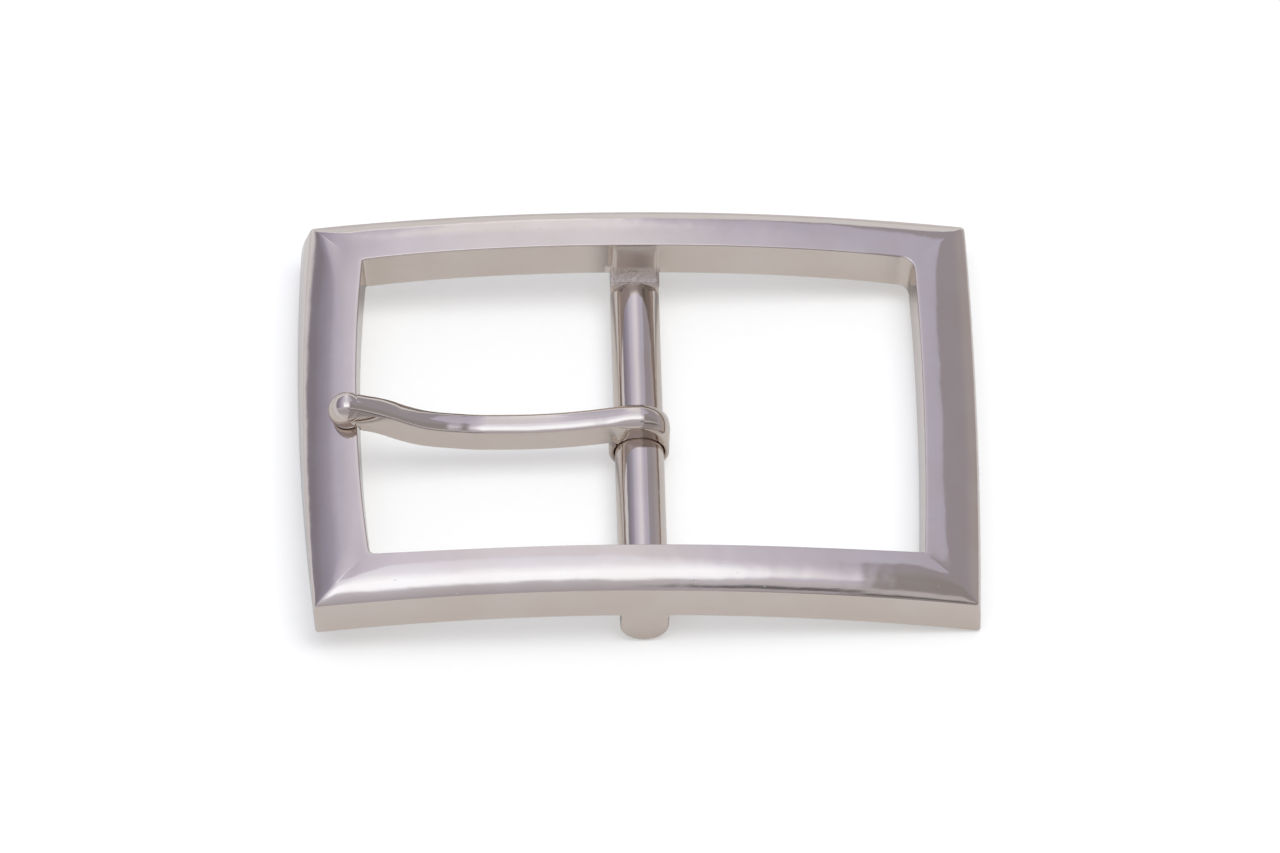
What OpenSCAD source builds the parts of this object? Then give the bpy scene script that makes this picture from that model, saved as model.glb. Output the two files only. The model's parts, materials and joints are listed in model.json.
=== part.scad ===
// Centre-bar dress belt buckle: an arched cast frame, a fixed bar behind it and a hinged prong.
// The origin is the middle of the bar's axis. +X runs along the belt, +Y along the bar and
// +Z out of the front of the buckle. The prong points to -X.

/* [Strap] */
// Width of the strap that the buckle is made for
belt_w = 35; // [30:1:40]
// Room beside the strap, both sides together
belt_room = 1; // [0.5:0.5:3]

/* [Frame] */
// Length of the opening at mid-height, between the two end rails
opening_l = 57.6; // [52:0.2:66]
// Width of the two long rails, seen from the front
long_rail_w = 5.2; // [4:0.1:7]
// Width of the two end rails, seen from the front
end_rail_w = 5.45; // [4.5:0.05:7]
// Thickness of the rails from front to back
frame_t = 5.4; // [4.6:0.1:7]
// Radius of the arch that the frame follows along the belt
arch_r = 195; // [150:5:400]
// Height of the arch's crown above the axis of the bar
crown_z = 6.9; // [6.6:0.1:8]
// How far the end rail on the prong's side bows outwards
tip_end_bow = 0.95; // [0.3:0.05:1.5]
// How far the other end rail bows outwards
strap_end_bow = 0.45; // [0.3:0.05:1.5]
// Width of the bevel along the outer front edge
bevel_w = 3.15; // [2:0.05:3.5]
// Drop of the bevel at the outer edge
bevel_drop = 1.2; // [0.8:0.05:1.5]
// Radius of the bevel's convex face
bevel_r = 10.9; // [9:0.1:20]
// Draft of the outer walls, over their height
outer_draft = 0.3; // [0.1:0.05:0.5]
// Draft of the inner walls, over their height
inner_draft = 0.5; // [0.1:0.05:0.8]
// Chamfer of the long rails' inner edges at the back
long_chamfer = 1.2; // [0.4:0.1:1.2]
// Chamfer of the end rails' inner edges at the back
end_chamfer = 1.5; // [1.4:0.1:2]

/* [Lugs and bar] */
// Width of the two lugs that hold the bar
lug_w = 4.9; // [4.6:0.1:6]
// How far the centre of the lugs' round ends lies below the bar's axis
lug_drop = 0.5; // [0:0.1:1]
// How far each lug stands in from the opening's edge
lug_step = 1.4; // [0.8:0.1:2]
// Width of the sloped pad between each lug and the rail's inner wall
pad_w = 4.2; // [3:0.1:4.6]
// Diameter of the bar
bar_d = 5.0; // [4:0.1:5]
// Diameter of the bar's shouldered ends
spigot_d = 2.6; // [2:0.1:2.8]
// Length of the bar's shouldered ends
spigot_l = 4.0; // [2:0.1:5]

/* [Prong] */
// Place of the prong along the bar
prong_y = -1; // [-10:0.1:10]
// Width of the prong's flat underside
prong_w = 3.0; // [2.6:0.1:3.6]
// Thickness of the prong
prong_t = 2.7; // [2.2:0.1:3]
// Radius of the rounded crown on the prong's top
crown_r = 1.7; // [1.6:0.1:3]
// Radius of the prong's ball tip
ball_r = 1.9; // [1.6:0.1:2.4]
// Distance of the ball's centre from the bar's axis, along the belt
ball_x = 29.8; // [27:0.1:31]
// Width of the loop round the bar
loop_w = 3.1; // [2.7:0.1:4]
// Thickness of the prong over the bar
loop_top_t = 2.4; // [1.8:0.1:3]
// Thickness of the loop beside the bar
loop_side_t = 0.55; // [0.5:0.05:1.2]
// Running clearance between the loop and the bar, on the radius
bar_gap = 0.06; // [0.02:0.01:0.1]
// Width of the seam where the loop closes
seam_w = 0.35; // [0.2:0.05:0.6]

/* [Hidden] */
$fn = 96;
FINE = 720;
BIG = 100;

// Opening and outline, as half sizes from the middle
open_y = (belt_w + belt_room) / 2;
open_x = opening_l / 2;
out_y = open_y + long_rail_w;
out_x = open_x + end_rail_w;

// Height of the arched front above the bar's axis at a distance x from the middle
function arch_z(x) = crown_z - arch_r + sqrt(arch_r * arch_r - x * x);
// Radius of an arc that bows out by bow over a half length
function bow_radius(half, bow) = (half * half + bow * bow) / (2 * bow);

// Walls
wall_h = frame_t - bevel_drop;
outer_slope = outer_draft / wall_h;
inner_slope = inner_draft / (frame_t - long_chamfer);
back_r = arch_r - frame_t;
chamfer_r = back_r + long_chamfer;

// Centre of the bevel's arc, measured from the crease at the bevel's inner edge
bevel_chord = sqrt(bevel_w * bevel_w + bevel_drop * bevel_drop);
bevel_lift = sqrt(bevel_r * bevel_r - bevel_chord * bevel_chord / 4);
bevel_cx = bevel_w / 2 - bevel_lift * bevel_drop / bevel_chord;
bevel_cz = -bevel_drop / 2 - bevel_lift * bevel_w / bevel_chord;

// Lugs: the outer face stands just inside the outer wall's back edge
lug_in = open_y - lug_step;
lug_out = out_y + outer_draft - 0.1;
lug_r = lug_w / 2;
lug_up = crown_z - frame_t + 1;
pad_top = crown_z - 0.5;
socket_gap = 0.02;
bar_r = bar_d / 2;

// Loop of the prong
bore_r = bar_r + bar_gap;
loop_r = bore_r + loop_side_t;
loop_z = bore_r + loop_top_t - loop_r;
loop_edge = 0.35;
seam_angle = 153;

// Prong, from over the bar to the ball: each run is [straight length, bend radius, bend angle].
// A positive angle bends the prong upwards, a negative one downwards.
RUNS = [[0, 8, -12], [2.6, 44, 12], [2.2, 18, 31], [0.4, 6, -26], [1.7, 1, 0]];
first_z = bore_r + loop_top_t - prong_t / 2 - 0.05;
rail_gap = 0.08;
ball_lift = 0.9;
ball_z = arch_z(ball_x) + ball_lift;
heel_x = open_x - inner_draft - 0.3;

// Direction along the prong, and square to it, for a heading above the belt line
function along(h) = [-cos(h), 0, sin(h)];
function square_to(h) = [sin(h), 0, cos(h)];

// Where a run's straight part ends, and where its bend ends
function straight_end(p, h, run) = p + run[0] * along(h);
function bend_end(p, h, run) =
    let (turn = run[2] < 0 ? -1 : 1)
    p + turn * run[1] * (square_to(h) - square_to(h + run[2]));

// Start point and heading of run i
function run_start(i) = i == 0
    ? [[0, 0, first_z], 0]
    : let (last = run_start(i - 1), run = RUNS[i - 1])
      [bend_end(straight_end(last[0], last[1], run), last[1], run), last[1] + run[2]];

// Turns a shape that was made about Z so that it lies about Y
module about_y() {
    rotate([90, 0, 0]) children();
}

// Sweeps a profile, drawn as [radius, across], about the axis of the arch
module arch_sweep() {
    half = asin((out_x + 4) / arch_r);
    translate([0, 0, crown_z - arch_r])
        about_y()
            rotate([0, 0, 90 - half])
                rotate_extrude(angle = 2 * half, $fn = FINE) children();
}

// Profile of the arched slab across the belt: crowned flat, two bevels and drafted walls
module slab_profile() {
    top_y = out_y - outer_slope * bevel_drop;
    crease_y = out_y - bevel_w;
    intersection() {
        polygon([
            [back_r, -out_y - outer_draft],
            [arch_r, -top_y],
            [arch_r, top_y],
            [back_r, out_y + outer_draft]
        ]);
        union() {
            translate([back_r - 1, -crease_y - bevel_cx])
                square([frame_t + 2, 2 * (crease_y + bevel_cx)]);
            for (side = [-1, 1])
                translate([arch_r + bevel_cz, side * (crease_y + bevel_cx)])
                    circle(r = bevel_r, $fn = FINE / 2);
        }
    }
}

// Space under the bevel of one end rail, revolved about an axis square to the arch there
module end_bevel(bow) {
    r = bow_radius(out_y, bow);
    crease_x = out_x - bevel_w;
    crease_r = r - bevel_w;
    tilt = asin(crease_x / arch_r);
    half = asin((out_y + 4) / (r - 2 * out_x));
    translate([crease_x, 0, arch_z(crease_x)])
        rotate([0, tilt, 0])
            translate([-crease_r, 0, 0])
                rotate([0, 0, -half])
                    rotate_extrude(angle = 2 * half, $fn = FINE) {
                        translate([crease_r - BIG, -BIG / 2])
                            square([BIG + bevel_cx * 0.7, BIG]);
                        translate([crease_r + bevel_cx, bevel_cz])
                            circle(r = bevel_r, $fn = FINE / 2);
                    }
}

// Space inside the drafted outer wall of one end rail
module end_wall(bow) {
    r = bow_radius(out_y, bow);
    edge_z = arch_z(out_x) - bevel_drop;
    h = 40;
    translate([out_x - r, 0, edge_z - h / 2])
        cylinder(h = h, r1 = r + outer_slope * h / 2, r2 = r - outer_slope * h / 2, $fn = FINE);
}

// Space between the drafted inner walls of the two long rails, wider at the back
module opening_across() {
    deep = 4;
    narrow = open_y - inner_draft;
    arch_sweep()
        polygon([
            [chamfer_r - deep, -narrow - deep],
            [chamfer_r, -narrow],
            [arch_r + deep, -open_y - inner_slope * deep],
            [arch_r + deep, open_y + inner_slope * deep],
            [chamfer_r, narrow],
            [chamfer_r - deep, narrow + deep]
        ]);
}

// Space inside the drafted inner wall of one end rail, wider at the back and deep beyond both faces
module opening_along(bow, deep) {
    r = bow_radius(open_y, bow);
    front_z = arch_z(open_x);
    chamfer_z = front_z - frame_t + end_chamfer;
    narrow = r - inner_slope * (front_z - chamfer_z);
    translate([open_x - r, 0, 0])
        rotate_extrude($fn = FINE)
            polygon([
                [0, chamfer_z - deep],
                [narrow + deep, chamfer_z - deep],
                [narrow, chamfer_z],
                [r + inner_slope * deep, front_z + deep],
                [0, front_z + deep]
            ]);
}

// Outline of a lug seen along the bar: straight sides and a round end
module lug_outline() {
    translate([0, -lug_drop]) circle(r = lug_r);
    translate([-lug_r, -lug_drop]) square([lug_w, lug_up + lug_drop]);
}

// One lug with its sloped pad and the socket for the bar's end, on the +Y side
module lug() {
    ledge = 0.15;
    difference() {
        union() {
            translate([0, lug_out, 0])
                about_y() linear_extrude(height = lug_out - lug_in) lug_outline();
            translate([-pad_w / 2, 0, 0])
                rotate([90, 0, 90])
                    linear_extrude(height = pad_w)
                        polygon([
                            [lug_in + ledge, 1],
                            [lug_in + ledge, lug_up],
                            [open_y + 0.1, pad_top],
                            [open_y + 1, pad_top],
                            [open_y + 1, 1]
                        ]);
        }
        translate([0, lug_in + spigot_l + 0.2, 0])
            about_y() cylinder(d = spigot_d, h = spigot_l + 1);
    }
}

module frame() {
    color([0.77, 0.75, 0.78]) {
        difference() {
            intersection() {
                arch_sweep() slab_profile();
                end_bevel(strap_end_bow);
                end_wall(strap_end_bow);
                mirror([1, 0, 0]) end_bevel(tip_end_bow);
                mirror([1, 0, 0]) end_wall(tip_end_bow);
            }
            intersection() {
                opening_across();
                opening_along(strap_end_bow, 6);
                mirror([1, 0, 0]) opening_along(tip_end_bow, 7);
            }
        }
        lug();
        mirror([0, 1, 0]) lug();
    }
}

module centre_bar() {
    color([0.70, 0.68, 0.70]) {
        translate([0, lug_in, 0]) about_y() cylinder(r = bar_r, h = 2 * lug_in);
        translate([0, lug_in + spigot_l, 0])
            about_y() cylinder(d = spigot_d - 2 * socket_gap, h = 2 * (lug_in + spigot_l));
    }
}

// Section of the prong, drawn as [height, across]: flat underside, leaning sides, crowned top
module prong_section(grow = 0) {
    half_t = prong_t / 2 + grow;
    half_w = prong_w / 2 + grow;
    lean = 0.25;
    intersection() {
        polygon([
            [-half_t, -half_w],
            [half_t, -half_w + lean],
            [half_t, half_w - lean],
            [-half_t, half_w]
        ]);
        union() {
            translate([-prong_t, -prong_w]) square([prong_t, 2 * prong_w]);
            translate([half_t - crown_r, 0]) circle(r = crown_r);
        }
    }
}

// One run of the prong: a straight part, a hair thicker so that the bends end inside it, then a bend
module prong_run(i) {
    lap = 0.1;
    run = RUNS[i];
    start = run_start(i);
    h = start[1];
    corner = straight_end(start[0], h, run);
    turn = run[2] < 0 ? -1 : 1;
    if (run[0] > 0)
        translate(start[0] - lap * along(h))
            rotate([0, h - 90, 0])
                linear_extrude(height = run[0] + 2 * lap) prong_section(0.01);
    if (run[2] != 0)
        translate(corner + turn * run[1] * square_to(h))
            about_y()
                rotate([0, 0, turn < 0 ? 90 - h : 270 - h - run[2]])
                    rotate_extrude(angle = abs(run[2]), $fn = FINE)
                        translate([run[1], 0])
                            mirror([turn < 0 ? 0 : 1, 0]) prong_section();
}

// Half of the loop's section with its bevelled edges, out to a radius r
module rim_section(r) {
    half = loop_w / 2;
    polygon([
        [0, -half],
        [r - loop_edge, -half],
        [r, -half + loop_edge],
        [r, half - loop_edge],
        [r - loop_edge, half],
        [0, half]
    ]);
}

// The closed plate that the loop is cut from
module loop_plate() {
    for (z = [0, loop_z])
        translate([0, 0, z]) about_y() rotate_extrude() rim_section(loop_r);
    linear_extrude(height = loop_z) {
        rim_section(loop_r);
        mirror([1, 0]) rim_section(loop_r);
    }
}

// What the prong must clear: the arched front of the end rail that it rests on
module rail_clearance() {
    intersection() {
        translate([0, BIG / 2, crown_z - arch_r])
            about_y() cylinder(r = arch_r + rail_gap, h = BIG, $fn = FINE);
        translate([-heel_x - BIG, -BIG / 2, -BIG / 2]) cube(BIG);
    }
}

module prong() {
    color([0.74, 0.73, 0.72])
        translate([0, prong_y, 0])
            difference() {
                union() {
                    for (i = [0 : len(RUNS) - 1]) prong_run(i);
                    translate([-ball_x, 0, ball_z]) sphere(r = ball_r);
                    loop_plate();
                }
                translate([0, BIG / 2, 0]) about_y() cylinder(r = bore_r, h = BIG);
                rotate([0, -seam_angle, 0])
                    translate([0, -prong_w, -seam_w / 2])
                        cube([loop_r + 1, 2 * prong_w, seam_w]);
                rail_clearance();
            }
}

frame();
centre_bar();
prong();
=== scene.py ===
"""Looks of the belt buckle: refined meshes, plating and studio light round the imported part."""
import json

import bmesh
import bpy
import numpy as np
from mathutils import Matrix, Vector


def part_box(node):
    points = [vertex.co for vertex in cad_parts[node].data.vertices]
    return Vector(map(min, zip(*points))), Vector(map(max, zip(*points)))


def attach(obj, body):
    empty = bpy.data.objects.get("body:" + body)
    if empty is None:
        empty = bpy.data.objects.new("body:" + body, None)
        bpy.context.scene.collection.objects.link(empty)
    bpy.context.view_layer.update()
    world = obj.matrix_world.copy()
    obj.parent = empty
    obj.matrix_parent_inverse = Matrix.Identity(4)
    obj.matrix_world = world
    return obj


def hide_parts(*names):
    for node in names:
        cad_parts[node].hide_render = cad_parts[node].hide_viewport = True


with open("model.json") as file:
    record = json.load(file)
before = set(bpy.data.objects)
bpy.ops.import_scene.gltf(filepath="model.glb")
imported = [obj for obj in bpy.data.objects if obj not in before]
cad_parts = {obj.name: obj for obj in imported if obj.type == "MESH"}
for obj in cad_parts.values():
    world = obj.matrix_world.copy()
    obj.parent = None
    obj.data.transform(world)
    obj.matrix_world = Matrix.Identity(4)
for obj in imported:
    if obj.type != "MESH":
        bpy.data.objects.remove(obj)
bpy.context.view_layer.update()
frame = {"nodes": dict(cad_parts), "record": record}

MM = 0.001
WELD = 2e-6
SLIVER = 1e-7
record = frame["record"]

# ---------------------------------------------------------------- sizes, in millimetres
frame_lo, frame_hi = (np.array(v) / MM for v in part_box("frame"))
prong_lo, prong_hi = (np.array(v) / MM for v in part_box("prong"))
strap_bar = record["mounts"][0]["dims"]

CROWN_Z = frame_hi[2]
LUG_BOTTOM = frame_lo[2]
BAR_R = strap_bar["r_mm"]
LUG_IN = strap_bar["length_mm"] / 2
PRONG_Y = (prong_lo[1] + prong_hi[1]) / 2
ARCH_R = 195.0
FRAME_T = 5.4
BEVEL_W = 3.15
BEVEL_DROP = 1.2
OUT_DRAFT = 0.3
IN_DRAFT = 0.5
OUT_Y = frame_hi[1] - OUT_DRAFT
OPEN_Y = 18.0
OUT_X = 34.25
OPEN_X = 28.8
TIP_BOW = 0.95
STRAP_BOW = 0.45
LONG_CHAMFER = 1.2
END_CHAMFER = 1.5
LUG_R = 2.45
LUG_Z = LUG_BOTTOM + LUG_R
LUG_TOP = CROWN_Z - FRAME_T + 1
ARCH_Z = CROWN_Z - ARCH_R


def smooth(t):
    t = np.clip(t, 0.0, 1.0)
    return t * t * (3 - 2 * t)


def grid_mesh(name, rows, close_rows, close_cols, caps=False):
    """A mesh object from an array of points [row][column], in millimetres."""
    rows = np.asarray(rows, float)
    n, m = rows.shape[:2]
    points = [tuple(p * MM) for p in rows.reshape(-1, 3)]
    faces = []
    for i in range(n if close_rows else n - 1):
        a, b = i * m, ((i + 1) % n) * m
        for j in range(m if close_cols else m - 1):
            k = (j + 1) % m
            faces.append((a + j, a + k, b + k, b + j))
    if caps:
        for row, turn in ((0, -1), (n - 1, 1)):
            ring = [row * m + j for j in range(m)][::turn]
            points.append(tuple(rows[row].mean(0) * MM))
            hub = len(points) - 1
            faces += [(ring[j], ring[(j + 1) % m], hub) for j in range(m)]
    mesh = bpy.data.meshes.new(name)
    mesh.from_pydata(points, [], faces)
    clean(mesh)
    piece = bpy.data.objects.new(name, mesh)
    bpy.context.scene.collection.objects.link(piece)
    return piece


def clean(mesh):
    """Welds doubled points, turns the faces outwards and shades them smooth."""
    b = bmesh.new()
    b.from_mesh(mesh)
    bmesh.ops.remove_doubles(b, verts=b.verts, dist=WELD)
    bmesh.ops.dissolve_degenerate(b, edges=b.edges, dist=SLIVER)
    bmesh.ops.recalc_face_normals(b, faces=b.faces)
    b.to_mesh(mesh)
    b.free()
    mesh.polygons.foreach_set("use_smooth", [True] * len(mesh.polygons))


# ---------------------------------------------------------------- frame: one ring of stations
def bow_radius(half, bow):
    """Radius of an arc that rises by bow over a chord of 2 * half."""
    return (half * half + bow * bow) / (2 * bow)


# A long rail's stations reach LONG_X before they are fitted to each outline, beyond PLAIN_X
LONG_X = 26.0
PLAIN_X = 5.0
N_LONG = 34
N_END = 40
N_CORNER = 6
LUG_X = [0.0, 0.5, 1.0, 1.45, 1.8, 1.95, 2.05, 2.15, 2.25, 2.33, 2.39, 2.43, 2.45]


def long_stations():
    """Signed places along a long rail, as (x, is inside the lug)."""
    inside = [(x, True) for x in LUG_X]
    beyond = np.linspace(LUG_X[-1], LONG_X, N_LONG)
    side = inside + [(x, False) for x in beyond]
    return [(-x, lug) for x, lug in side[:0:-1]] + side


LONG = long_stations()


def along_rail(x, limit):
    """The same place along a rail whose straight part ends at limit, unmoved near the lugs."""
    reach = max(abs(x) - PLAIN_X, 0.0)
    return np.sign(x) * (min(abs(x), PLAIN_X) + reach * (limit - PLAIN_X) / (LONG_X - PLAIN_X))


def end_x(y, mid, radius):
    """Where an end rail's bowed outline lies at y: it crosses the middle at mid."""
    return mid - radius + np.sqrt(radius * radius - y * y)


def outline(y_half, tip, strap, corners, bow=0.0):
    """One closed outline as points [x, y]: tip and strap are (middle x, radius) of the ends."""
    out = []
    sides = {-1: tip, 1: strap}

    def corner_points(sx, sy, first_long):
        r = corners[sx, sy]
        c = np.array([sx * end_x(y_half, *sides[sx]), sy * y_half])
        p_long = c - np.array([sx * r, 0])
        p_end = np.array([sx * end_x(y_half - r, *sides[sx]), c[1] - sy * r])
        a, b = (p_long, p_end) if first_long else (p_end, p_long)
        for t in np.linspace(0, 1, N_CORNER + 1)[1:-1]:
            out.append((1 - t) ** 2 * a + 2 * t * (1 - t) * c + t * t * b)

    def long_points(sy):
        for x, _ in LONG if sy > 0 else [(-x, lug) for x, lug in LONG]:
            sx = 1 if x > 0 else -1
            limit = end_x(y_half, *sides[sx]) - corners[sx, sy]
            place = along_rail(x, limit)
            y = y_half + bow * (1 - (place / limit) ** 4)
            out.append(np.array([place, sy * y]))

    def end_points(sx):
        high, low = y_half - corners[sx, 1], y_half - corners[sx, -1]
        for t in np.linspace(1, 0, N_END) if sx > 0 else np.linspace(0, 1, N_END):
            y = -low + t * (high + low)
            out.append(np.array([sx * end_x(abs(y), *sides[sx]), y]))

    long_points(1)
    corner_points(1, 1, True)
    end_points(1)
    corner_points(1, -1, False)
    long_points(-1)
    corner_points(-1, -1, True)
    end_points(-1)
    corner_points(-1, 1, False)
    return np.array(out)


def station_kinds():
    """For each station: its share of end rail, and the sign of the long rail whose lug it's in."""
    fade = list(np.linspace(0, 1, N_CORNER + 1)[1:-1])
    kinds = []
    for side in (1, -1):
        kinds += [(0.0, side if lug else 0) for _, lug in LONG]
        kinds += [(share, 0) for share in fade]
        kinds += [(1.0, 0)] * N_END
        kinds += [(share, 0) for share in fade[::-1]]
    return kinds


KINDS = station_kinds()
END_SHARE = np.array([k[0] for k in KINDS])
LUG_SIDE = np.array([k[1] for k in KINDS])

OUT_TIP = (OUT_X, bow_radius(OUT_Y, TIP_BOW))
OUT_STRAP = (OUT_X, bow_radius(OUT_Y, STRAP_BOW))
IN_TIP = (OPEN_X, bow_radius(OPEN_Y, TIP_BOW))
IN_STRAP = (OPEN_X, bow_radius(OPEN_Y, STRAP_BOW))

# Corner radii as (end, side of the long rail): the casting's corners aren't alike
OUT_CORNERS = {(-1, 1): 0.5, (1, 1): 0.4, (1, -1): 0.35, (-1, -1): 0.4}
IN_CORNERS = {(-1, 1): 0.45, (1, 1): 1.5, (1, -1): 0.35, (-1, -1): 0.8}
LONG_BOW = 0.28


def scaled(corners, share, least=0.0):
    """The corner radii times share, and never under least."""
    return {k: max(r * share, least) for k, r in corners.items()}


def outer(u, share=1.0):
    """The outer outline, moved in by u."""
    return outline(
        OUT_Y - u,
        (OUT_TIP[0] - u, OUT_TIP[1] - u),
        (OUT_STRAP[0] - u, OUT_STRAP[1] - u),
        scaled(OUT_CORNERS, share, 0.12),
    )


def inner(v, share=1.0):
    """The opening's outline, moved out into the rails by v."""
    return outline(
        OPEN_Y + v,
        (IN_TIP[0] + v, IN_TIP[1] + v),
        (IN_STRAP[0] + v, IN_STRAP[1] + v),
        scaled(IN_CORNERS, share),
        LONG_BOW,
    )


def height(xy, depth):
    """Height of points that lie depth below the arch over the frame's front."""
    r = ARCH_R - depth
    return ARCH_Z + np.sqrt(r * r - xy[:, 0] ** 2)


def level(xy, depth):
    """Points [x, y] set at a depth, as [x, y, z]."""
    return np.column_stack([xy, height(xy, depth)])


LONG_W = OUT_Y - OPEN_Y
END_W = OUT_X - OPEN_X
CROWN_POWER = 2.6
FAR = 3.0
CREASE_K = 0.05
# Share of a rail's width at which the mitres start to fade: sooner at the tip end's upper corner
FADE_FROM = 0.3
FADE_FROM_TIP = 0.12
FADE_OVER = 0.6


def front_depth(xy):
    """Depth of the crowned front: crisp mitres at the outer corners, which fade out inwards."""
    x, y = xy[:, 0], xy[:, 1]
    radius = np.where(x < 0, OUT_TIP[1], OUT_STRAP[1])
    from_end = (radius - np.hypot(np.abs(x) - OUT_X + radius, y)) / END_W
    from_long = (OUT_Y - np.abs(y)) / LONG_W
    a, b = np.clip(from_long, 0, FAR), np.clip(from_end, 0, FAR)
    low = np.minimum(a, b)
    fade_from = np.where((x < 0) & (y > 0), FADE_FROM_TIP, FADE_FROM)
    k = CREASE_K + smooth((low - fade_from) / FADE_OVER)
    h = np.maximum(k - np.abs(a - b), 0.0) / k
    share = np.clip(low - h * h * k / 4, 0.0, 1.0)
    return BEVEL_DROP * (1 - share) ** CROWN_POWER


def front(xy):
    """Points [x, y] set on the crowned front."""
    return level(xy, front_depth(xy))


# The front's rounded inner edge, and where its crown stops short of the outer outline
INNER_EDGE_R = 0.16
OUTER_EDGE_U = 0.16
CREASE_ROUND = 0.3
# The rounded outer front edge, as (distance in from the outline, drop below the crown's edge)
OUTER_EDGE = ((0.1, 0.04), (0.055, 0.085), (0.022, 0.15), (0.005, 0.23), (0.0, 0.33))
# The outer wall, as (depth, bulge), with the faint ridge of the mould's parting
OUTER_WALL = (
    (1.9, 0.0), (2.5, 0.0), (2.95, 0.0), (3.02, 0.008), (3.08, 0.018), (3.14, 0.008),
    (3.22, -0.006), (3.8, -0.003), (4.4, 0.0), (4.95, 0.0), (5.1, 0.0),
)
WALL_FLARE = OUT_DRAFT - 0.03
FLARE_POWER = 0.8


def ring_rows():
    """The frame's upper part, from the inner front edge over the crown and down the outer wall."""
    rows = []
    for a in np.radians([90, 72, 54, 36, 18, 0]):
        xy = inner(INNER_EDGE_R - INNER_EDGE_R * np.sin(a))
        drop = INNER_EDGE_R - INNER_EDGE_R * np.cos(a)
        rows.append(level(xy, front_depth(inner(INNER_EDGE_R)) + drop))
    start, crease = inner(INNER_EDGE_R), outer(BEVEL_W, CREASE_ROUND)
    for f in np.linspace(0, 1, 8)[1:]:
        rows.append(front(start * (1 - f) + crease * f))
    for u in np.linspace(BEVEL_W, OUTER_EDGE_U, 20)[1:]:
        share = CREASE_ROUND + (1 - CREASE_ROUND) * max(0.0, 1 - u / 0.5)
        rows.append(front(outer(u, share)))
    for u, drop in OUTER_EDGE:
        rows.append(level(outer(u), front_depth(outer(OUTER_EDGE_U)) + drop))
    for d, bulge in OUTER_WALL:
        share = min((d - BEVEL_DROP) / (FRAME_T - BEVEL_DROP), 1.0)
        flare = WALL_FLARE * np.sin(share * np.pi / 2) ** FLARE_POWER
        rows.append(level(outer(-flare - bulge), d))
    return rows


RIM_R = 0.28
TOE_Y = LUG_IN + 0.18


def lower_rows(top_row):
    """The rails' lower part from the outer wall round to the inner wall, with the lugs in it."""
    x = top_row[:, 0]
    y_side = np.sign(top_row[:, 1])
    lug = LUG_SIDE != 0
    in_x = np.where(lug, np.abs(x), 0.0)
    base = LUG_Z - np.sqrt(np.maximum(LUG_R**2 - in_x**2, 0.0))
    face_y = OUT_Y + OUT_DRAFT - 0.02
    shoulder = height(top_row, FRAME_T)

    def rounding(z):
        """How far the lug's rim is rounded back at height z."""
        low = np.where(z < LUG_Z, LUG_R - np.hypot(in_x, z - LUG_Z), LUG_R - in_x)
        q = np.clip(low, 0.0, RIM_R)
        fall = RIM_R - np.sqrt(RIM_R**2 - (RIM_R - q) ** 2)
        return fall * smooth((shoulder - z) / 0.15)

    rows = []

    def add(plain_xy, plain_depth, lug_y, lug_z):
        """A row that follows the plain rail, and the given path in the lugs' columns."""
        row = level(plain_xy, plain_depth)
        row[lug, 0] = x[lug]
        row[lug, 1] = (y_side * lug_y)[lug]
        row[lug, 2] = lug_z[lug]
        rows.append(row)

    # outer face of the lug against the wall's rounded lower edge
    heights = [shoulder + (base + 0.5 - shoulder) * f for f in (0.0, 0.25, 0.5, 0.75)]
    heights += [base + h for h in (0.34, 0.22, 0.13, 0.06, 0.02, 0.0)]
    for z, t in zip(heights, np.linspace(0, 1, len(heights))):
        a = t * np.pi / 2
        plain = outer(-WALL_FLARE + RIM_R * (1 - np.cos(a)))
        add(plain, FRAME_T - RIM_R + RIM_R * np.sin(a), face_y - rounding(z), z)
    # underside of the lug against the back of the rail
    chamfer = LONG_CHAMFER + (END_CHAMFER - LONG_CHAMFER) * END_SHARE
    back_long = inner(LONG_CHAMFER - IN_DRAFT)
    back_end = inner(END_CHAMFER - IN_DRAFT + 0.05)
    share = END_SHARE[:, None]
    back_in = back_long * (1 - share) + back_end * share
    back_out = outer(-WALL_FLARE + RIM_R)
    foot = face_y - RIM_R
    for f in (0.2, 0.4, 0.6, 0.8, 0.97):
        add(back_out * (1 - f) + back_in * f, FRAME_T, foot + (TOE_Y - foot) * f, base)
    # inner face of the lug against the chamfer
    wall_long = inner(-IN_DRAFT)
    narrow_end = IN_DRAFT * (FRAME_T - END_CHAMFER) / (FRAME_T - LONG_CHAMFER)
    wall_end = inner(-narrow_end)
    wall_in = wall_long * (1 - share) + wall_end * share
    for f, y, z in (
        (0.03, TOE_Y - 0.1, base + 0.03),
        (0.1, TOE_Y - 0.155, base + 0.1),
        (0.5, LUG_IN, base + 0.2),
        (0.9, LUG_IN, base * 0.5 + LUG_TOP * 0.5),
        (0.96, LUG_IN, base * 0 + LUG_TOP),
    ):
        add(back_in * (1 - f) + wall_in * f, FRAME_T - chamfer * f, np.full(len(x), y), z)
    return rows, wall_in, chamfer


PAD_RISE = CROWN_Z - LUG_TOP - 0.35
FOOT_H = 1.1
PAD_HALF = 2.1
PAD_PROUD = 0.3
WALL_TOP = 0.2
# Shares of the inner wall's depth: the first FOOT_STEPS of them round the pad's foot in the lugs
FOOT_STEPS = 9
WALL_STEPS = (
    1.0, 0.97, 0.94, 0.91, 0.88, 0.85, 0.82, 0.79, 0.76,
    0.7, 0.6, 0.5, 0.4, 0.3, 0.22, 0.16, 0.12, 0.09,
)


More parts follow.
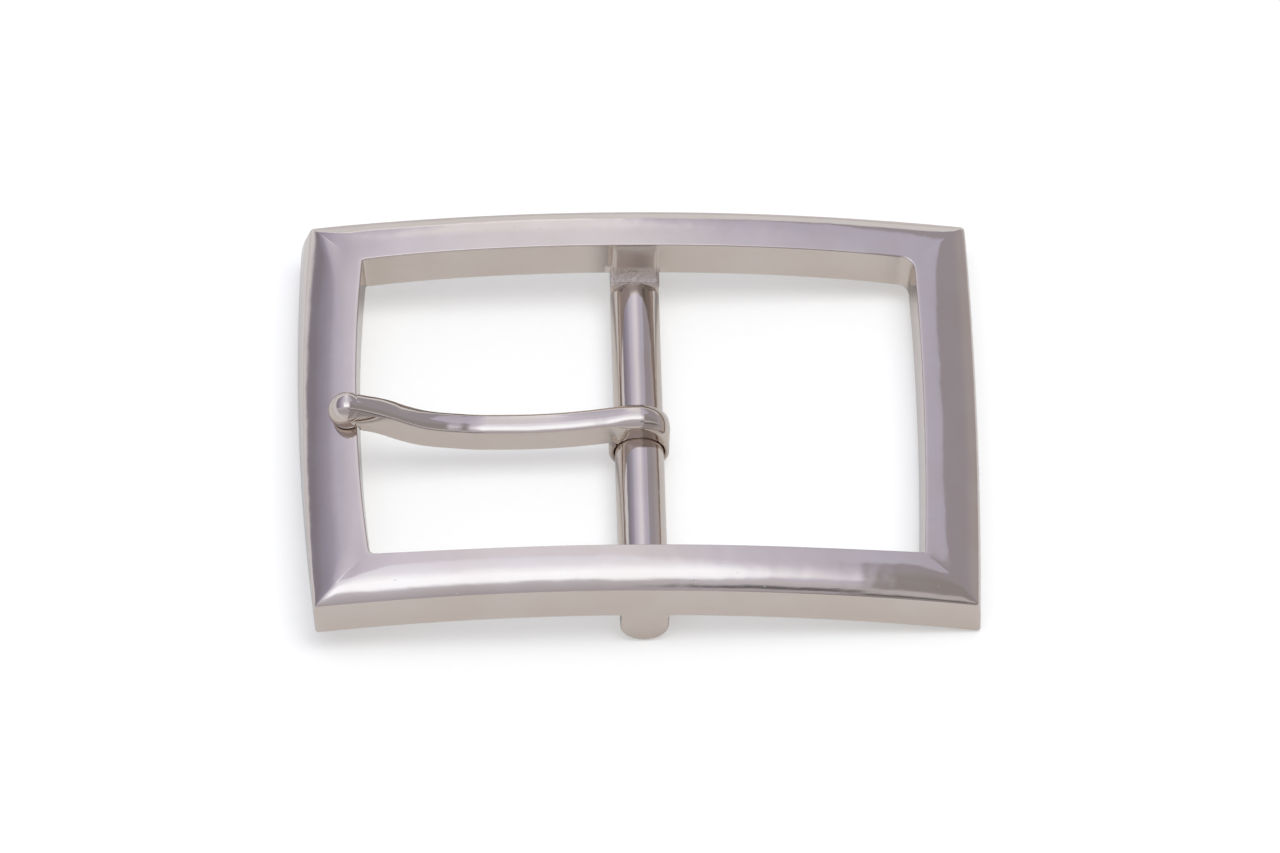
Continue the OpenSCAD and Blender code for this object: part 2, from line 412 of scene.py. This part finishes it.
def inner_wall_rows(wall_in, chamfer):
    """The inner wall up to the front edge, with the shallow pad over each lug."""
    rows = []
    top = inner(0.0)
    start = FRAME_T - chamfer
    lug = LUG_SIDE != 0
    x = top[:, 0]
    for i, f in enumerate(WALL_STEPS):
        if i < FOOT_STEPS:
            turn = (i + 1) / FOOT_STEPS * np.pi / 2
            rise = FOOT_H * (1 - np.cos(turn))
            reach = 1 - np.sin(turn)
        else:
            steps = len(WALL_STEPS) - FOOT_STEPS
            rise = FOOT_H + (PAD_RISE - FOOT_H) * (i - FOOT_STEPS + 1) / steps
            reach = 0.0
        lug_depth = np.maximum(height(top, 0.0) - LUG_TOP - rise, WALL_TOP)
        depth = np.where(lug, lug_depth, WALL_TOP + (start - WALL_TOP) * f)
        share = (depth / start)[:, None]
        row = level(top * (1 - share) + wall_in * share, depth)
        over = 1 - depth / start
        proud = PAD_PROUD * (1 - smooth((over - 0.75) / 0.25))
        side = smooth((PAD_HALF + 0.2 - np.abs(x)) / 0.3)
        inward = proud * side + (np.abs(row[:, 1]) - LUG_IN - proud * side) * reach
        row[:, 1] -= np.where(lug, np.sign(row[:, 1]) * inward, 0.0)
        rows.append(row)
    return rows


TWIST_FROM = 30.0
TWIST_FRONT = 0.36
TWIST_BACK = 0.3


def build_frame():
    """The casting as one closed ring of stations, from the front edge right round to it."""
    upper = ring_rows()
    lower, wall_in, chamfer = lower_rows(upper[-1])
    rows = np.array(upper + lower + inner_wall_rows(wall_in, chamfer))
    # the tip end is slightly twisted: its front leans one way and its back the other
    x, y, z = rows[..., 0], rows[..., 1], rows[..., 2]
    depth = np.sqrt(ARCH_R**2 - x**2) + ARCH_Z - z
    weight = smooth((-x - TWIST_FROM) / (OUT_X - TWIST_FROM)) * y / OUT_Y
    rows[..., 0] += weight * (TWIST_FRONT - (TWIST_FRONT + TWIST_BACK) * smooth(depth / FRAME_T))
    return grid_mesh("frame_casting", rows, True, True)


frame_piece = build_frame()

# ---------------------------------------------------------------- centre bar
BAR_SIDES = 96
BAR_PLUG = 0.6
BAR_FILLET = 0.05


def build_bar():
    """The bar between the lugs, with a hair of rounding where it enters them."""
    rows = []
    turn = np.linspace(0, 2 * np.pi, BAR_SIDES, endpoint=False)
    ends = [0.0, 0.02, 0.08, 0.2, 0.45]
    places = [-LUG_IN - BAR_PLUG] + [-LUG_IN + e for e in ends]
    places += list(np.linspace(-LUG_IN + 1, LUG_IN - 1, 60))
    places += [LUG_IN - e for e in ends[::-1]] + [LUG_IN + BAR_PLUG]
    for y in places:
        r = BAR_R - BAR_FILLET * np.exp(-max(LUG_IN - abs(y), 0) / 0.12)
        ring = [r * np.cos(turn), np.full(BAR_SIDES, y), r * np.sin(turn)]
        rows.append(np.column_stack(ring))
    return grid_mesh("bar_shaft", rows, False, True, caps=True)


bar_piece = build_bar()

# ---------------------------------------------------------------- prong
GAP = 0.06
BORE_R = BAR_R + GAP
LOOP_W = 3.1
LOOP_R = prong_hi[0]
TOP_T = 2.4
PRONG_T = 2.7
LOOP_Z = BORE_R + TOP_T - LOOP_R
BALL_R = 1.9
BALL_X = 29.8
BALL_LIFT = 0.9
BALL_Z = ARCH_Z + np.sqrt(ARCH_R**2 - BALL_X**2) + BALL_LIFT
REST_GAP = 0.08
NECK_GAP = 0.02
WALL_GAP = 0.18
SEAM = 153.0
SEAM_HALF = 0.175
SEAM_ROOM = 0.02
# The shaft starts at LOOP_X; its round neck starts at NECK_X and is complete NECK_L further on
LOOP_X = -3.1
NECK_X = 25.5
NECK_L = 3.8
NECK_R = 1.8
NECK_SAG = 0.38
NECK_TILT = np.radians(10.0)
SAG_FROM = 18.0
SAG_L = 5.0
# How much fuller the shaft is than PRONG_T, under and over the centre line
FAT_UNDER = 0.1
FAT_TOP = 0.05
# The section: its sides lean in by LEAN, and its upper edges are sharper on the shaft
LEAN = 0.4
SHAFT_EDGE = 0.14
LOOP_EDGE = 0.85
LOW_EDGE = 0.22
CROWN_RISE = 0.26
PATH_STEP = 0.12
# The shaft's centre line as (straight length, then a bend's radius and its angle in degrees)
RUNS = [(0, 8, -12), (2.6, 44, 12), (2.2, 18, 31), (0.4, 6, -26), (1.7, 1, 0)]


def prong_path():
    """Centre line of the prong from over the bar to the ball, as [x, z, heading]."""

    def across(heading):
        return np.array([np.sin(heading), np.cos(heading)])

    p = np.array([0.0, BORE_R + TOP_T - PRONG_T / 2 - 0.05])
    h = 0.0
    points = [(p[0], p[1], h)]
    for length, radius, bend in RUNS:
        d = np.array([-np.cos(h), np.sin(h)])
        if length:
            steps = max(int(length / PATH_STEP), 1)
            for i in range(1, steps + 1):
                q = p + d * length * i / steps
                points.append((q[0], q[1], h))
            p = p + d * length
        if bend:
            b = np.radians(bend)
            steps = max(int(abs(b) * radius / PATH_STEP), 2)
            arm = radius if bend > 0 else -radius
            for i in range(1, steps + 1):
                q = p + arm * (across(h) - across(h + b * i / steps))
                points.append((q[0], q[1], h + b * i / steps))
            p = p + arm * (across(h) - across(h + b))
            h += b
    return np.array(points)


def section_ring(t, lean, edge, crown, round_share):
    """Closed section of height t: leaning sides and a crowned top, drawn towards a circle."""
    e_low = min(LOW_EDGE, t * 0.4)
    e_top = min(edge, t * 0.38)
    drop = CROWN_RISE * crown
    half_low, half_top = LOOP_W / 2, LOOP_W / 2 - lean
    half = []
    for a in np.radians(np.linspace(-90, 0, 5)):
        half.append((half_low - e_low + e_low * np.cos(a), e_low + e_low * np.sin(a)))
    side_top = t - drop - e_top
    for f in (0.25, 0.5, 0.75):
        half.append((half_low + (half_top - half_low) * f, e_low + (side_top - e_low) * f))
    for a in np.radians(np.linspace(8, 65, 6)):
        half.append((half_top - e_top + e_top * np.cos(a), side_top + e_top * np.sin(a)))
    y_end, z_end = half[-1]
    for f in (0.15, 0.3, 0.45, 0.6, 0.8):
        y = y_end * (1 - f)
        half.append((y, z_end + (t - z_end) * (1 - (y / y_end) ** 2)))
    ring = half + [(0.0, t)] + [(-y, z) for y, z in half[::-1]] + [(0.0, 0.0)]
    ring = np.array(ring)
    arm = ring - [0.0, t / 2]
    circle = arm / np.linalg.norm(arm, axis=1)[:, None] * NECK_R + [0.0, t / 2]
    return ring * (1 - round_share) + circle * round_share


def along(points, share):
    """The point at a share of the length of a run of points."""
    points = np.array(points)
    far = np.concatenate([[0], np.cumsum(np.linalg.norm(np.diff(points, axis=0), axis=1))])
    at = share * far[-1]
    return np.array([np.interp(at, far, points[:, k]) for k in (0, 1)])


def loop_outside(a):
    """Point of the loop's outer outline in direction a from the bar's axis."""
    d = np.array([np.cos(a), np.sin(a)])
    if d[1] <= 0:
        return d * LOOP_R
    if abs(d[0]) > 1e-9 and LOOP_R / abs(d[0]) * d[1] <= LOOP_Z:
        return d * LOOP_R / abs(d[0])
    b = d[1] * LOOP_Z
    return d * (b + np.sqrt(b * b - LOOP_Z**2 + LOOP_R**2))


def prong_stations():
    """The prong's sections, as (under, top, lean, edge, crown, round share)."""
    path = prong_path()
    path = path[path[:, 0] >= -BALL_X]
    unders, tops, turns = [], [], []
    for x, z, heading in path:
        turn = smooth((-NECK_X - x) / NECK_L)
        z -= NECK_SAG * smooth((-x - SAG_FROM) / SAG_L)
        z += (BALL_Z - np.tan(NECK_TILT) * (x + BALL_X) - z) * turn
        heading += (NECK_TILT - heading) * turn
        up = np.array([np.sin(heading), np.cos(heading)])
        unders.append(np.array([x, z]) - up * (PRONG_T / 2 + FAT_UNDER))
        tops.append(np.array([x, z]) + up * (PRONG_T / 2 + FAT_TOP))
        turns.append(turn)
    stations = []
    shaft = [i for i in range(len(path)) if path[i, 0] <= LOOP_X]
    for i in shaft[::-1]:
        stations.append((unders[i], tops[i], LEAN, SHAFT_EDGE, 1.0, turns[i]))
    # over the bar: the underside turns down to the seam, into the bore and up over the bar
    seam = np.radians(SEAM)
    mouth_angle = seam - SEAM_HALF / LOOP_R - SEAM_ROOM
    mouth = np.array([np.cos(mouth_angle), np.sin(mouth_angle)])
    crest = np.pi / 2
    bore_angles = np.linspace(mouth_angle, crest, 20)
    bore = [BORE_R * np.array([np.cos(a), np.sin(a)]) for a in bore_angles]
    below = [unders[shaft[0]], mouth * LOOP_R] + bore
    above_bar = [tops[i] for i in range(shaft[0], -1, -1)]
    for share in np.linspace(0, 1, 28)[1:]:
        change = smooth(share * 1.3)
        lean = LEAN * (1 - change)
        edge = SHAFT_EDGE + (LOOP_EDGE - SHAFT_EDGE) * change
        stations.append((along(below, share), along(above_bar, share), lean, edge, 1.0, 0.0))
    # down the other side and round to the seam
    for a in np.linspace(crest, seam + SEAM_HALF / LOOP_R - 2 * np.pi, 72)[1:]:
        d = np.array([np.cos(a), np.sin(a)])
        crown = float(smooth((a + 0.7) / 2.0))
        stations.append((BORE_R * d, loop_outside(a), 0.0, LOOP_EDGE, crown, 0.0))
    return stations


def build_prong():
    """The shaft and the loop as one closed skin; the neck lies on the end rail, not in it."""
    rows = []
    for under, top, lean, edge, crown, turn in prong_stations():
        t = np.linalg.norm(top - under)
        dx, dz = (top - under) / t
        ring = section_ring(t, lean, edge, crown, turn)
        rows.append([(under[0] + dx * z, PRONG_Y + y, under[1] + dz * z) for y, z in ring])
    rows = np.array(rows)
    surface = ARCH_Z + np.sqrt((ARCH_R + REST_GAP + NECK_GAP) ** 2 - rows[..., 0] ** 2)
    over_rail = rows[..., 0] < -(OPEN_X - WALL_GAP)
    rows[..., 2] = np.where(over_rail, np.maximum(rows[..., 2], surface), rows[..., 2])
    return grid_mesh("prong_body", rows, False, True, caps=True)


prong_piece = build_prong()


def build_ball():
    """The ball at the prong's tip, cut flat where it rests on the end rail."""
    rows = []
    turn = np.linspace(0, 2 * np.pi, 64, endpoint=False)
    for a in np.radians(np.linspace(1, 179, 48)):
        ring = np.column_stack([
            -BALL_X + BALL_R * np.sin(a) * np.cos(turn),
            PRONG_Y + BALL_R * np.sin(a) * np.sin(turn),
            BALL_Z + BALL_R * np.cos(a) + 0 * turn,
        ])
        surface = ARCH_Z + np.sqrt((ARCH_R + REST_GAP) ** 2 - ring[:, 0] ** 2)
        ring[:, 2] = np.maximum(ring[:, 2], surface)
        rows.append(ring)
    return grid_mesh("prong_ball", rows, False, True, caps=True)


ball_piece = build_ball()

for piece, body, node, slot in (
    (frame_piece, "frame", "frame", "frame_plating"),
    (bar_piece, "frame", "centre_bar", "bar_plating"),
    (prong_piece, "prong", "prong", "prong_plating"),
    (ball_piece, "prong", "prong", "prong_plating"),
):
    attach(piece, body)
    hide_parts(node)


# ---------------------------------------------------------------- materials
class Nodes:
    """A node tree with short ways to add nodes."""

    def __init__(self, tree):
        self.tree = tree
        tree.nodes.clear()

    def add(self, kind, inputs=(), **settings):
        node = self.tree.nodes.new(kind)
        for name, value in settings.items():
            setattr(node, name, value)
        for name, value in dict(inputs).items():
            if isinstance(value, bpy.types.NodeSocket):
                self.tree.links.new(value, node.inputs[name])
            else:
                node.inputs[name].default_value = value
        return node

    def noise(self, vector, scale, detail, roughness):
        inputs = {"Vector": vector, "Scale": scale, "Detail": detail, "Roughness": roughness}
        return self.add("ShaderNodeTexNoise", inputs).outputs[0]

    def bump(self, height_value, distance, **under):
        inputs = {"Height": height_value, "Strength": 1.0, "Distance": distance, **under}
        return self.add("ShaderNodeBump", inputs).outputs[0]

    def place(self, vector, location, scale):
        inputs = {"Vector": vector, "Location": location, "Scale": scale}
        return self.add("ShaderNodeMapping", inputs).outputs[0]

    def math(self, op, *values):
        return self.add("ShaderNodeMath", dict(enumerate(values)), operation=op).outputs[0]

    def ramp(self, value, low, high, to_low=0.0, to_high=1.0):
        node = self.add(
            "ShaderNodeMapRange",
            {"Value": value, "From Min": low, "From Max": high, "To Min": to_low, "To Max": to_high},
            interpolation_type="SMOOTHSTEP",
        )
        return node.outputs["Result"]

    def bands(self, value, stops):
        """A smooth run of colours along value, from (value, colour) stops."""
        low, high = stops[0][0], stops[-1][0]
        share = self.add("ShaderNodeMapRange", {"Value": value, "From Min": low, "From Max": high})
        node = self.add("ShaderNodeValToRGB", {"Fac": share.outputs["Result"]})
        elements = node.color_ramp.elements
        elements[0].color, elements[1].color = (*stops[0][1], 1.0), (*stops[-1][1], 1.0)
        for at, color in stops[1:-1]:
            elements.new((at - low) / (high - low)).color = (*color, 1.0)
        return node.outputs["Color"]

    def mix(self, factor, a, b):
        node = self.add("ShaderNodeMix", data_type="RGBA")
        sockets = (node.inputs["Factor"], node.inputs[6], node.inputs[7])
        for socket, value in zip(sockets, (factor, a, b)):
            if isinstance(value, bpy.types.NodeSocket):
                self.tree.links.new(value, socket)
            elif hasattr(value, "__len__"):
                socket.default_value = (*value, 1.0)
            else:
                socket.default_value = value
        return node.outputs[2]


# Heights of the surface's detail, in metres
WAVE_H = 0.00006
SCRATCH_H = 0.0000022
PIT_H = 0.000012
LUMP_H = 0.00022
DULL_ROUGHNESS = 0.30


def plating(name, light, warm, rough, seed, stretch, dull=None):
    """Polished nickel over a casting: tone drift, soft waves, hairline scratches and pits.

    dull is the half width in x, and the reach in y from the bar's ends, of the patch in the
    frame that the polisher doesn't reach, in millimetres.
    """
    material = bpy.data.materials.new(name)
    material.use_nodes = True
    n = Nodes(material.node_tree)
    spot_of = n.add("ShaderNodeTexCoord").outputs["Object"]
    spot = n.place(spot_of, (seed, seed * 0.7, -seed), (1 / MM, 1 / MM, 1 / MM))
    drawn = n.place(spot_of, (seed, 0, seed), tuple(s / MM for s in stretch))
    tone = n.noise(spot, 0.16, 3.0, 0.5)
    haze = n.noise(spot, 0.9, 5.0, 0.6)
    color = n.mix(n.ramp(tone, 0.35, 0.65), light, warm)
    roughness = n.ramp(haze, 0.3, 0.7, *rough)
    wave = n.noise(spot, 0.22, 2.0, 0.4)
    scratch = n.noise(drawn, 1.0, 6.0, 0.7)
    cells = n.add("ShaderNodeTexVoronoi", {"Vector": spot, "Scale": 0.55, "Randomness": 1.0})
    pit = n.ramp(cells.outputs["Distance"], 0.0, 0.06, -1.0, 0.0)
    normal = n.bump(wave, WAVE_H)
    normal = n.bump(scratch, SCRATCH_H, Normal=normal)
    normal = n.bump(pit, PIT_H, Normal=normal)
    if dull:
        half_x, reach = dull
        px, py, pz = n.add("ShaderNodeSeparateXYZ", {"Vector": spot_of}).outputs
        far_y = n.math("ABSOLUTE", py)
        near_x = n.ramp(n.math("ABSOLUTE", px), half_x * MM, half_x * 0.8 * MM)
        near_y = n.ramp(far_y, (LUG_IN - reach) * MM, (LUG_IN - reach + 0.5) * MM)
        under = n.ramp(far_y, (OPEN_Y + 0.3) * MM, (OPEN_Y + 0.25) * MM)
        patch = n.math("MULTIPLY", n.math("MULTIPLY", near_x, near_y), under)
        roughness = n.math("ADD", roughness, n.math("MULTIPLY", patch, DULL_ROUGHNESS))
        low = n.ramp(pz, (LUG_TOP + 1.5) * MM, (LUG_TOP + 0.7) * MM)
        lumps = n.math("MULTIPLY", n.noise(spot, 2.4, 4.0, 0.6), n.math("MULTIPLY", patch, low))
        normal = n.bump(lumps, LUMP_H, Normal=normal)
    shader = n.add(
        "ShaderNodeBsdfPrincipled",
        {"Base Color": color, "Metallic": 1.0, "Roughness": roughness, "Normal": normal},
    )
    out = n.add("ShaderNodeOutputMaterial")
    n.tree.links.new(shader.outputs[0], out.inputs[0])
    return material


NICKEL = (0.65, 0.573, 0.515)
NICKEL_WARM = (0.63, 0.548, 0.485)
ALONG_X = (0.35, 6.0, 6.0)
ALONG_BAR = (6.0, 0.3, 6.0)
ALONG_PRONG = (0.4, 6.0, 6.0)
frame_plating = plating(
    "frame_plating", NICKEL, NICKEL_WARM, (0.045, 0.09), 3.0, ALONG_X, dull=(2.6, 0.3)
)
bar_plating = plating("bar_plating", NICKEL, NICKEL_WARM, (0.05, 0.10), 11.0, ALONG_BAR)
prong_plating = plating("prong_plating", NICKEL, NICKEL_WARM, (0.045, 0.09), 23.0, ALONG_PRONG)
for piece, material in (
    (frame_piece, frame_plating),
    (bar_piece, bar_plating),
    (prong_piece, prong_plating),
    (ball_piece, prong_plating),
):
    piece.data.materials.append(material)
for node, material in (
    ("frame", frame_plating),
    ("centre_bar", bar_plating),
    ("prong", prong_plating),
):
    for slot in frame["nodes"][node].material_slots:
        slot.material = material


# ---------------------------------------------------------------- floor
# The buckle rests on the prong's loop and on the back of one end rail, so the floor is tilted.
TILT = np.radians(2.4)
SPAN = 6.0
PAPER = (0.565, 0.565, 0.55)
PAPER_LIGHT = (0.585, 0.585, 0.57)
# The floor's own light: a little for everything, and more where the camera sees the bare floor
FLOOR_GLOW = 0.135
FLOOR_SEEN = 0.26


def build_floor():
    """A large sheet of pale paper under the loop and the back of the end rail."""
    mesh = bpy.data.meshes.new("floor")
    corners = [(-SPAN, -SPAN, 0), (SPAN, -SPAN, 0), (SPAN, SPAN, 0), (-SPAN, SPAN, 0)]
    mesh.from_pydata(corners, [], [(0, 1, 2, 3)])
    sheet = bpy.data.objects.new("floor", mesh)
    bpy.context.scene.collection.objects.link(sheet)
    sheet.rotation_euler = (0, -TILT, 0)
    sheet.location = Vector((0, 0, -LOOP_R * MM / np.cos(TILT)))
    material = bpy.data.materials.new("floor_paper")
    material.use_nodes = True
    n = Nodes(material.node_tree)
    spot = n.add("ShaderNodeTexCoord").outputs["Object"]
    grain = n.add("ShaderNodeTexNoise", {"Vector": spot, "Scale": 900.0, "Detail": 3.0})
    color = n.mix(grain.outputs[0], PAPER, PAPER_LIGHT)
    inputs = {"Base Color": color, "Roughness": 0.9, "Specular IOR Level": 0.1}
    shader = n.add("ShaderNodeBsdfPrincipled", inputs)
    shader.inputs["Emission Color"].default_value = (1.0, 0.99, 0.96, 1.0)
    seen = n.add("ShaderNodeLightPath").outputs["Is Camera Ray"]
    glow = n.math("MULTIPLY_ADD", seen, FLOOR_SEEN, FLOOR_GLOW)
    n.tree.links.new(glow, shader.inputs["Emission Strength"])
    out = n.add("ShaderNodeOutputMaterial")
    n.tree.links.new(shader.outputs[0], out.inputs[0])
    mesh.materials.append(material)
    return sheet


floor = build_floor()


# ---------------------------------------------------------------- light
# Brightness of the surroundings before STUDIO_POWER, by place on the ceiling: x over z for the
# card, y over z for the softbox and for the side of the camera
CARD = [
    (-1.60, (0.228, 0.226, 0.285)), (-1.05, (0.294, 0.297, 0.395)), (-0.80, (0.349, 0.353, 0.463)),
    (-0.60, (0.463, 0.482, 0.621)), (-0.42, (0.529, 0.549, 0.678)), (-0.28, (0.61, 0.622, 0.78)),
    (-0.12, (0.692, 0.717, 0.836)), (0.03, (0.692, 0.722, 0.825)), (0.17, (0.556, 0.571, 0.712)),
    (0.33, (0.463, 0.476, 0.599)), (0.62, (0.431, 0.442, 0.565)),
]
GLOW = [
    (-0.15, (1.05, 1.16, 1.32)), (0.02, (1.07, 1.18, 1.34)),
    (0.22, (0.83, 0.895, 1.045)), (0.43, (0.752, 0.795, 0.96)),
]
NEAR = [
    (-2.4, (0.545, 0.543, 0.565)), (-1.3, (0.382, 0.375, 0.429)), (-0.55, (0.385, 0.385, 0.445)),
    (-0.38, (0.44, 0.445, 0.51)), (-0.22, (0.53, 0.55, 0.63)),
]


CARD_LOW = (0.76, 0.79, 0.89)
SOFTBOX_RIGHT = (0.80, 0.86, 1.0)
ROOM = (0.31, 0.305, 0.36)
ROOM_NEAR = (0.27, 0.265, 0.285)
ROOM_FAR = (0.355, 0.345, 0.375)
ROOM_BRIGHT = (0.46, 0.46, 0.51)
SLIT = (0.13, 0.13, 0.145)
SWEEP = (0.63, 0.665, 0.71)
SWEEP_LEFT = (0.60, 0.63, 0.70)
RIM_BRIGHT = (1.0, 1.03, 1.1)
RIM_DARK = (0.27, 0.26, 0.32)
BACKDROP = (0.7, 0.7, 0.7)
STUDIO_POWER = 1.41


def build_world():
    """A soft studio: a card behind, a softbox overhead and a dimmer room to the sides.

    Places on the ceiling are px = x / z and py = y / z of the ray's direction.
    """
    world = bpy.data.worlds.new("studio")
    bpy.context.scene.world = world
    world.use_nodes = True
    w = Nodes(world.node_tree)

    def both(a, b):
        return w.math("MULTIPLY", a, b)

    ray = w.add("ShaderNodeTexCoord").outputs["Generated"]
    x, y, z = w.add("ShaderNodeSeparateXYZ", {"Vector": ray}).outputs
    up = w.math("MAXIMUM", z, 0.03)
    px, py = w.math("DIVIDE", x, up), w.math("DIVIDE", y, up)

    # the card behind: brightest in the middle, dim to the left, with a bright low part
    color = w.bands(px, CARD)
    low = both(w.ramp(py, 1.1, 1.9), w.ramp(px, 0.2, 0.05))
    color = w.mix(both(low, w.ramp(px, -0.38, -0.22)), color, CARD_LOW)

    # the side of the camera: dimmer, with a dark slit on the right and the pale table far below
    color = w.mix(w.ramp(py, -0.13, -0.25), color, w.bands(py, NEAR))
    slit = both(w.ramp(py, -0.33, -0.37), w.ramp(py, -0.47, -0.42))
    color = w.mix(both(slit, w.ramp(px, 0.02, 0.14)), color, SLIT)

    # the softbox: its far edge is crisp on the left, and runs askew and soft on the right
    askew = w.math("MAXIMUM", px, 0.0)
    edge = w.math("ADD", py, both(askew, 1.7))
    soft = w.math("ADD", both(askew, 1.1), 0.025)
    far = w.ramp(w.math("DIVIDE", w.math("SUBTRACT", edge, 0.44), soft), 1.0, -1.0)
    lower = w.math("SUBTRACT", py, w.ramp(px, 0.08, 0.20, 0.0, 0.09))
    box = both(both(far, w.ramp(lower, -0.25, -0.13)), w.ramp(px, -0.42, -0.34))
    glow = w.mix(w.ramp(px, 0.08, 0.24), w.bands(py, GLOW), SOFTBOX_RIGHT)
    color = w.mix(box, color, glow)

    # the room beyond the card's crisp right edge, with a bright and a dark strip
    limit = w.math(
        "ADD", w.ramp(py, 0.36, 0.80, 0.27, 0.66), w.ramp(py, 0.86, 1.05, 0.0, -0.07)
    )
    room = w.mix(w.ramp(py, 0.30, 0.05), ROOM, ROOM_NEAR)
    room = w.mix(w.ramp(px, 1.5, 2.6), room, ROOM_FAR)
    bright = both(w.ramp(py, -0.28, -0.32), w.ramp(py, -0.46, -0.42))
    room = w.mix(bright, room, ROOM_BRIGHT)
    dark = both(w.ramp(py, -0.46, -0.48), w.ramp(py, -0.62, -0.56))
    room = w.mix(dark, room, SLIT)
    color = w.mix(w.ramp(w.math("SUBTRACT", px, limit), -0.015, 0.02), color, room)

    # the pale sweep behind, up to a little above the horizon, and the rim over it
    ahead = w.ramp(y, 0.55, 0.75)
    color = w.mix(both(w.ramp(z, 0.23, 0.20), ahead), color, SWEEP)
    color = w.mix(w.ramp(px, -2.25, -2.6), color, SWEEP_LEFT)
    rim = both(both(w.ramp(z, 0.215, 0.23), w.ramp(z, 0.26, 0.24)), ahead)
    color = w.mix(both(rim, w.ramp(px, 0.15, 0.0)), color, RIM_BRIGHT)
    color = w.mix(both(rim, w.ramp(px, 0.35, 0.5)), color, RIM_DARK)

    seen = w.add("ShaderNodeLightPath").outputs["Is Camera Ray"]
    color = w.mix(seen, color, BACKDROP)
    back = w.add("ShaderNodeBackground", {"Color": color, "Strength": STUDIO_POWER})
    out = w.add("ShaderNodeOutputWorld")
    w.tree.links.new(back.outputs[0], out.inputs[0])


build_world()


def area_light(name, place, side, power):
    """A square light that faces the buckle and isn't mirrored in the plating."""
    data = bpy.data.lights.new(name, "AREA")
    data.shape = "RECTANGLE"
    data.size, data.size_y = side, side
    data.energy = power
    light = bpy.data.objects.new(name, data)
    bpy.context.scene.collection.objects.link(light)
    light.location = place
    light.rotation_euler = (-Vector(place)).to_track_quat("-Z", "Y").to_euler()
    light.visible_glossy = False


area_light("key_softbox", (0.25, -0.1, 1.2), 0.7, 7.0)
area_light("fill_softbox", (0.0, -0.3, 1.6), 1.6, 4.0)

# ---------------------------------------------------------------- camera
# Fitted to the photo's outlines: angles in degrees, distances in millimetres
ELEVATION, AZIMUTH, ROLL = np.radians([56.0, -4.24, 3.32])
DISTANCE = 2384.0
LENS = 661.0
SENSOR = 36.0
AIM_X = 0.2
AIM_RIGHT = -0.294
AIM_UP = -3.327


def build_camera():
    """The photo's long lens, far away and slightly rolled."""
    back = np.array([
        np.sin(AZIMUTH) * np.cos(ELEVATION),
        -np.cos(AZIMUTH) * np.cos(ELEVATION),
        np.sin(ELEVATION),
    ])
    level_right = np.array([np.cos(AZIMUTH), np.sin(AZIMUTH), 0.0])
    level_up = np.cross(back, level_right)
    right = level_right * np.cos(ROLL) + level_up * np.sin(ROLL)
    up = -level_right * np.sin(ROLL) + level_up * np.cos(ROLL)
    aim = np.array([AIM_X, 0.0, CROWN_Z]) + AIM_RIGHT * right + AIM_UP * up
    data = bpy.data.cameras.new("camera")
    data.lens = LENS
    data.sensor_width = SENSOR
    data.clip_start = 0.05
    data.clip_end = 50.0
    camera = bpy.data.objects.new("camera", data)
    bpy.context.scene.collection.objects.link(camera)
    turn = Matrix((right, up, back)).transposed().to_4x4()
    camera.matrix_world = Matrix.Translation((aim + back * DISTANCE) * MM) @ turn
    bpy.context.scene.camera = camera


build_camera()
bpy.context.scene.view_settings.view_transform = "Standard"
bpy.context.scene.view_settings.look = "None"
